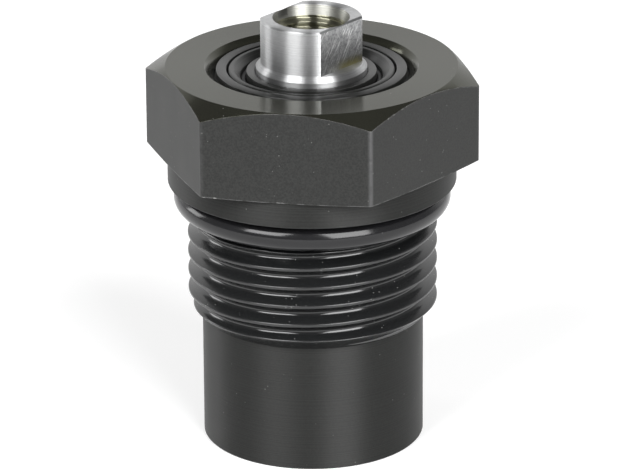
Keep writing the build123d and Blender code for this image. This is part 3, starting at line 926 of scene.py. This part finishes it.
class CARTRIDGE_OT_recess_rings(bpy.types.Operator):
    """Make the gland, the lock ring, the scraper and its rubber ring."""

    bl_idname = "cartridge.recess_rings"
    bl_label = "Recess rings"

    def execute(self, context):
        scene = context.scene
        bore, rings = scene.cartridge_bore, scene.cartridge_rings
        plunger, colours = scene.cartridge_plunger, scene.cartridge_colours
        hex_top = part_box("body")[1].z
        gland_bottom = hex_top - bore.gland_bore_depth
        bore_radius = bore.gland_bore_diameter / 2
        inside = plunger.shaft_diameter / 2 + rings.running_clearance
        outside = bore_radius - rings.running_clearance
        neck = rings.gland_neck_diameter / 2
        flange_top = gland_bottom + rings.gland_flange_height
        groove = bore_radius - rings.gland_seal_section - 2 * rings.seal_clearance
        seal_middle = gland_bottom + rings.gland_seal_height
        groove_half = rings.gland_seal_section / 2 + rings.gland_groove_spare
        pocket = rings.scraper_pocket_diameter / 2
        rim = hex_top - rings.gland_top_drop
        pocket_top = rim - rings.gland_bevel
        pocket_bottom = pocket_top - rings.scraper_pocket_depth
        gland = turn(
            [
                (inside, gland_bottom),
                (outside, gland_bottom),
                (outside, seal_middle - groove_half),
                (groove, seal_middle - groove_half),
                (groove, seal_middle + groove_half),
                (outside, seal_middle + groove_half),
                (outside, flange_top),
                (neck, flange_top),
                (neck, rim - rings.gland_top_edge),
                (neck - rings.gland_top_edge, rim),
                (pocket + rings.gland_bevel, rim),
                (pocket, pocket_top),
                (pocket, pocket_bottom),
                (inside, pocket_bottom),
            ]
        )
        lock_inside = rings.lock_ring_inside / 2
        lock_outside = rings.lock_ring_top_diameter / 2
        lock_top = hex_top - rings.lock_ring_drop
        recess_foot = hex_top - bore.recess_depth
        lock = turn(
            [
                (lock_inside, flange_top),
                (outside, flange_top),
                (outside, recess_foot - (outside - lock_outside)),
                (lock_outside, recess_foot),
                (lock_outside, lock_top),
                (lock_inside, lock_top),
            ]
        )
        scraper_inside = plunger.shaft_diameter / 2 + rings.seal_clearance
        scraper_outside = rings.scraper_diameter / 2
        scraper_top = hex_top - rings.scraper_top_drop
        scraper = turn(
            [
                (scraper_inside, pocket_bottom),
                (scraper_outside, pocket_bottom),
                (scraper_outside, scraper_top),
                (scraper_inside + rings.scraper_edge, scraper_top),
                (scraper_inside, scraper_top - rings.scraper_edge),
            ]
        )
        faced = oxide_turned(colours, "black_rings", 0.3, "radius")
        for bm, name, node, rounding in (
            (gland, "gland_ring", "gland", rings.edge_break),
            (lock, "locking_ring", "lock_ring", rings.edge_break),
            (scraper, "scraper", "scraper_ring", 0.6 * rings.edge_break),
        ):
            ease(bm, sharp_edges(bm), rounding)
            finish_piece(bm, name, "housing", node, [faced])

        soft_inside = scraper_outside + rings.seal_clearance
        soft_outside = pocket - rings.seal_clearance
        soft_top = hex_top - rings.energizer_top_drop
        soft = turn(
            [
                (soft_inside, pocket_bottom),
                (soft_outside, pocket_bottom),
                (soft_outside, soft_top),
                (soft_inside, soft_top),
            ]
        )
        top_edges = sharp_edges(soft, keep=lambda middle: middle.z > soft_top - SAME)
        ease(soft, top_edges, 0.4 * (soft_outside - soft_inside), 4)
        matt = rubber(colours, "seal_rubber_matt", 0.5)
        finish_piece(soft, "scraper_rubber", "housing", "scraper_energizer", [matt])
        return {"FINISHED"}


class CARTRIDGE_OT_plunger(bpy.types.Operator):
    """Make the bright plunger with its wrench flats and tapped hole."""

    bl_idname = "cartridge.plunger"
    bl_label = "Plunger"

    def execute(self, context):
        scene = context.scene
        sizes, colours = scene.cartridge_plunger, scene.cartridge_colours
        low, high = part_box("plunger")
        bottom, top = low.z, high.z
        shaft = sizes.shaft_diameter / 2
        end = sizes.end_diameter / 2
        shoulder = sizes.shoulder_height
        across = sizes.flats_across / 2
        hole = sizes.hole_diameter / 2
        hole_bottom = top - sizes.drill_depth
        drill_tip = hole_bottom - hole * math.tan(sizes.drill_angle)
        spring_bore = sizes.spring_bore_diameter / 2
        spring_top = drill_tip - sizes.web_thickness
        flange = sizes.flange_diameter / 2
        flange_top = bottom + sizes.flange_thickness
        groove = spring_bore + sizes.ring_groove_depth
        ring_bottom = bottom + sizes.ring_thickness
        ring_top = ring_bottom + sizes.ring_thickness
        thread_bottom = top - sizes.hole_thread_length
        thread_mouth = hole + sizes.mouth_step
        thread_top = top - sizes.mouth_depth
        mouth = thread_mouth + sizes.mouth_flare
        foot = shoulder - (shaft - end)
        fillet = sizes.shoulder_fillet
        leans = [math.radians(lean) for lean in (45, 30, 15, 0)]
        hollow = [
            (end + fillet * (1 - math.cos(lean)), shoulder + fillet * (0.5 - math.sin(lean)))
            for lean in leans
        ]
        outer = turn(
            [
                (0.0, spring_top),
                (spring_bore, spring_top),
                (spring_bore, ring_top),
                (groove, ring_top),
                (groove, ring_bottom),
                (spring_bore, ring_bottom),
                (spring_bore, bottom),
                (flange - sizes.foot_chamfer, bottom),
                (flange, bottom + sizes.foot_chamfer),
                (flange, flange_top),
                (shaft, flange_top),
                (shaft, foot),
                *hollow,
                (end, top - sizes.end_chamfer),
                (end - sizes.end_chamfer, top),
                (mouth + sizes.mouth_edge, top),
                (mouth, top - sizes.mouth_edge),
                (thread_mouth, thread_top),
            ],
            closed=False,
        )
        flat = heading(sizes.flats_angle)
        for side in (0.0, math.pi):
            outward = heading(sizes.flats_angle + side)
            self.cut_flat(outer, outward, across, shoulder)
            inset = outward * (across - sizes.flats_chamfer) + AXIS * top
            slice_off(outer, inset, outward + AXIS)
        self.round_end(outer, sizes, flat, mouth)

        pitch = sizes.hole_thread_pitch
        rounding, root_hollow = sizes.hole_crest_rounding, sizes.hole_root_hollow
        profile = thread_profile(hole, -1, pitch, sizes.hole_crest_share, rounding, root_hollow)

        def limit(radius, height):
            run_out = hole + (height - thread_bottom) * sizes.hole_run_out
            lead_in = thread_mouth - (thread_top - height)
            return max(min(radius, run_out), lead_in)

        start = thread_bottom - pitch
        inner = wind_thread(profile, pitch, start, top, thread_bottom, thread_top, limit)
        turn([(hole, thread_bottom), (hole, hole_bottom), (0.0, drill_tip)], closed=False, bm=inner)
        join(outer, inner)
        weld(outer, within=(thread_mouth + mouth) / 2)
        turned, ground, bored, flared, chromed = range(5)
        bore_foot = drill_tip - SAME
        band = sizes.edge_break  # middles of facets lie this close to a surface, or closer

        def pick(middle, normal):
            radius = radius_of(middle)
            if radius < thread_mouth and bore_foot < middle.z < thread_top:
                return bored
            if radius < mouth and thread_top < middle.z < top - sizes.mouth_edge - SAME:
                return flared
            if radius > shaft - band and middle.z < foot:
                return chromed
            facing = abs(normal.dot(flat)) > 0.995 and abs(middle.dot(flat)) < across + band
            return ground if facing and middle.z > shoulder else turned

        finishes = [
            steel_turned("bright_steel_turned", colours.steel, 0.4, 0.95),
            steel_ground(sizes, colours),
            steel_turned("bright_steel_bore", colours.steel_warm, 0.28),
            steel_turned("bright_steel_mouth", colours.steel_mouth, 0.42, 0.6),
            steel_turned("chromed_steel_shaft", colours.steel, 0.33, 0.9),
        ]
        finish_piece(outer, "plunger_rod", "plunger_group", "plunger", finishes, pick)
        return {"FINISHED"}

    @staticmethod
    def cut_flat(bm, outward, across, shoulder):
        """Mill one wrench flat down to the shoulder, and close the flat and its ledge."""
        upper = [
            face for face in bm.faces if min(corner.co.z for corner in face.verts) > shoulder - MARGIN
        ]
        cut(bm, upper, outward * across, outward, False)
        beyond = [
            face
            for face in bm.faces
            if min(corner.co.z for corner in face.verts) > shoulder - WELD
            and face.calc_center_median().dot(outward) > across
        ]
        bmesh.ops.delete(bm, geom=beyond, context="FACES")
        rim, arc = [], []
        for edge in bm.edges:
            past = all(corner.co.dot(outward) > across - WELD for corner in edge.verts)
            if len(edge.link_faces) == 1 and past:
                on_ledge = all(abs(corner.co.z - shoulder) < WELD for corner in edge.verts)
                (arc if on_ledge else rim).append(edge)
        rim_corners, arc_corners = ({corner for edge in part for corner in edge.verts} for part in (rim, arc))
        chord = bm.edges.new(tuple(rim_corners & arc_corners))
        for part in (rim, arc):
            bmesh.ops.contextual_create(bm, geom=part + [chord])

    @staticmethod
    def round_end(bm, sizes, flat, mouth):
        """Round the flats' upright edges and feet, and break the other edges of the end."""
        end = sizes.end_diameter / 2
        across = sizes.flats_across / 2
        shoulder = sizes.shoulder_height
        on_end = 0.06 * MM

        def above(middle):
            return middle.z > shoulder and radius_of(middle) > mouth

        uprights = [
            edge
            for edge in sharp_edges(bm, 20.0, above)
            if rise_of(edge) > 2 * SAME and all(abs(radius - end) < on_end for radius in radii_of(edge))
        ]
        ease(bm, uprights, sizes.flats_edge, 3)
        feet = [
            edge
            for edge in bm.edges
            if edge.calc_length() > 2 * MARGIN
            and all(
                abs(corner.co.z - shoulder) < SAME and abs(abs(corner.co.dot(flat)) - across) < SAME
                for corner in edge.verts
            )
        ]
        ease(bm, feet, sizes.flats_corner, 4)
        rims = [
            edge
            for edge in sharp_edges(bm, 25.0, lambda middle: middle.z > shoulder - MARGIN)
            if radii_of(edge)[0] > mouth + 1.5 * sizes.mouth_edge
        ]
        ease(bm, rims, sizes.edge_break)


class CARTRIDGE_OT_inner_parts(bpy.types.Operator):
    """Give every inner solid its finish."""

    bl_idname = "cartridge.inner_parts"
    bl_label = "Inner parts"

    def execute(self, context):
        body, colours = context.scene.cartridge_body, context.scene.cartridge_colours
        finishes = {
            "inner_steel": plain_metal("inner_steel_ground", colours.inner_steel, 0.28),
            "spring_steel": plain_metal("spring_steel_wire", colours.spring_steel, 0.34, 2500.0),
            "collet_bronze": plain_metal("collet_bronze_turned", colours.bronze, 0.3),
            "filter_bronze": grainy("filter_bronze_sintered", colours.sintered, 0.5, 1.0, 4000.0),
            "backup_plastic": grainy("backup_plastic_filled", colours.plastic, 0.45, 0.0, 2500.0),
            "seal_rubber": rubber(colours, "seal_rubber", 0.1),
            "black_rings": oxide_turned(colours, "black_rings_plain", 0.3, "radius"),
            "black_oxide": oxide_flat(body, colours),
            "bright_steel": steel_turned("bright_steel_plain", colours.steel, 0.25),
        }
        for row in frame["record"]["subparts"]:
            for slot in frame["nodes"][row["node"]].material_slots:
                slot.material = finishes[row["material_slot"]]
        return {"FINISHED"}


class CARTRIDGE_OT_stage(bpy.types.Operator):
    """Make the floor, the surroundings, the lamps and the camera."""

    bl_idname = "cartridge.stage"
    bl_label = "Stage"

    def execute(self, context):
        scene = context.scene
        stage = scene.cartridge_stage
        target = Vector((0, 0, stage.target_height))
        self.camera(scene, stage, target)
        self.floor(scene, stage)
        self.surroundings(scene, stage)
        # Each row: bearing and height, then width and height of the box as seen from the
        # target, all in degrees, and its share of the lamp level.
        for name, bearing, height, wide, tall, level in (
            ("left_front_box", -42.0, 39.0, 30.0, 32.0, 0.95),
            ("right_front_box", 31.0, 32.0, 33.0, 46.0, 0.92),
            ("left_side_box", -113.0, 14.0, 18.0, 18.0, 0.5),
        ):
            towards = self.direction(stage, bearing, height)
            self.soft_box(scene, stage, name, target, towards, (wide, tall), level)
        scene.view_settings.view_transform = "Standard"
        return {"FINISHED"}

    @staticmethod
    def direction(stage, bearing, height):
        """Unit vector at a bearing right of the camera's and a height, in degrees."""
        turned = stage.azimuth + math.radians(bearing)
        up = math.radians(height)
        return Vector((math.sin(turned) * math.cos(up), -math.cos(turned) * math.cos(up), math.sin(up)))

    def camera(self, scene, stage, target):
        """Add the camera, aimed at the target."""
        data = bpy.data.cameras.new("camera")
        data.lens = stage.lens
        data.sensor_width = 36.0
        data.shift_y = stage.shift
        data.clip_start = 0.05
        data.clip_end = 20.0
        back = self.direction(stage, 0.0, math.degrees(stage.elevation))
        camera = bpy.data.objects.new("camera", data)
        camera.location = target + back * stage.distance
        lean = Matrix.Rotation(stage.roll, 4, "Z")
        facing = back.to_track_quat("Z", "Y").to_matrix().to_4x4()
        camera.rotation_euler = (facing @ lean).to_euler()
        scene.collection.objects.link(camera)
        scene.camera = camera

    def floor(self, scene, stage):
        """Add the floor, whose own light stays out of the part's lighting."""
        bm = bmesh.new()
        bmesh.ops.create_grid(bm, x_segments=1, y_segments=1, size=stage.floor_size / 2)
        bmesh.ops.translate(bm, verts=bm.verts, vec=(0, 0, -stage.floor_drop))
        mesh = bpy.data.meshes.new("floor")
        bm.to_mesh(mesh)
        bm.free()
        made = Finish("floor_paper")
        camera, glossy, through = made.rays()
        seen = (camera + glossy + through).clipped()
        far = made.step(made.radius, stage.far_start, stage.far_full) * camera
        glow = seen * stage.floor_glow + far * stage.far_glow
        shade = (stage.floor_shade, stage.floor_shade, stage.floor_shade)
        paper = made.node("ShaderNodeBsdfDiffuse", None, {"Color": shade})
        light = made.node("ShaderNodeEmission", None, {"Color": WHITE, "Strength": glow})
        mesh.materials.append(made.surface(made.node("ShaderNodeAddShader", None, {0: paper, 1: light})))
        floor = bpy.data.objects.new("floor", mesh)
        scene.collection.objects.link(floor)

    def surroundings(self, scene, stage):
        """Add the world: dim for the part, white for the camera, with a backdrop in reflections."""
        world = bpy.data.worlds.new("studio")
        scene.world = world
        world.use_nodes = True
        made = Nodes(world.node_tree)
        x, y, z = made.parts(made.node("ShaderNodeTexCoord", output="Generated"))
        away = self.direction(stage, 180.0, 0.0)
        behind = x * away.x + y * away.y
        low = made.step(z, stage.backdrop_top, stage.backdrop_foot)
        backdrop = made.step(behind, stage.backdrop_side, stage.backdrop_middle) * low
        camera, glossy, through = made.rays()
        seen = (camera + glossy * backdrop + through).clipped()
        level = stage.ambient * (1.0 + stage.ambient_low * low) + stage.backdrop_glow * backdrop
        paper = {"Color": WHITE, "Strength": level + (1.0 - level) * seen}
        shader = made.node("ShaderNodeBackground", None, paper)
        made.node("ShaderNodeOutputWorld", None, {"Surface": shader}, None)

    def soft_box(self, scene, stage, name, target, towards, spread, level):
        """Add a soft box; spread is its width and height as seen from the target, in degrees."""
        wide, tall = (2 * stage.lamp_reach * math.tan(math.radians(side / 2)) for side in spread)
        data = bpy.data.lights.new(name, "AREA")
        data.shape = "RECTANGLE"
        data.size = wide
        data.size_y = tall
        data.energy = stage.lamp_level * level * math.pi * wide * tall
        lamp = bpy.data.objects.new(name, data)
        lamp.location = target + towards * stage.lamp_reach
        lamp.rotation_euler = towards.to_track_quat("Z", "Y").to_euler()
        scene.collection.objects.link(lamp)


class CARTRIDGE_PT_panel(bpy.types.Panel):
    """Lists the cartridge's operators."""

    bl_idname = "CARTRIDGE_PT_panel"
    bl_label = "Cartridge"
    bl_space_type = "VIEW_3D"
    bl_region_type = "UI"
    bl_category = "Cartridge"

    def draw(self, context):
        for operator in OPERATORS:
            self.layout.operator(operator.bl_idname)
        for attribute, _ in GROUPS:
            box = self.layout.box()
            group = getattr(context.scene, attribute)
            for key in group.__annotations__:
                box.prop(group, key)


OPERATORS = (
    CARTRIDGE_OT_stage,
    CARTRIDGE_OT_body,
    CARTRIDGE_OT_port_o_ring,
    CARTRIDGE_OT_recess_rings,
    CARTRIDGE_OT_plunger,
    CARTRIDGE_OT_inner_parts,
)
GROUPS = (
    ("cartridge_body", BodySizes),
    ("cartridge_bore", BoreSizes),
    ("cartridge_rings", RingSizes),
    ("cartridge_plunger", PlungerSizes),
    ("cartridge_colours", Colours),
    ("cartridge_stage", StageSettings),
)


def register():
    """Add the property groups, the operators and the panel."""
    for attribute, group in GROUPS:
        bpy.utils.register_class(group)
        setattr(bpy.types.Scene, attribute, bpy.props.PointerProperty(type=group))
    for item in (*OPERATORS, CARTRIDGE_PT_panel):
        bpy.utils.register_class(item)


def unregister():
    """Take them away again."""
    for item in reversed((*OPERATORS, CARTRIDGE_PT_panel)):
        bpy.utils.unregister_class(item)
    for attribute, group in reversed(GROUPS):
        delattr(bpy.types.Scene, attribute)
        bpy.utils.unregister_class(group)


def main():
    """Make everything."""
    register()
    bpy.ops.cartridge.stage()
    bpy.ops.cartridge.body()
    bpy.ops.cartridge.port_o_ring()
    bpy.ops.cartridge.recess_rings()
    bpy.ops.cartridge.plunger()
    bpy.ops.cartridge.inner_parts()


if __name__ == "__main__":
    main()
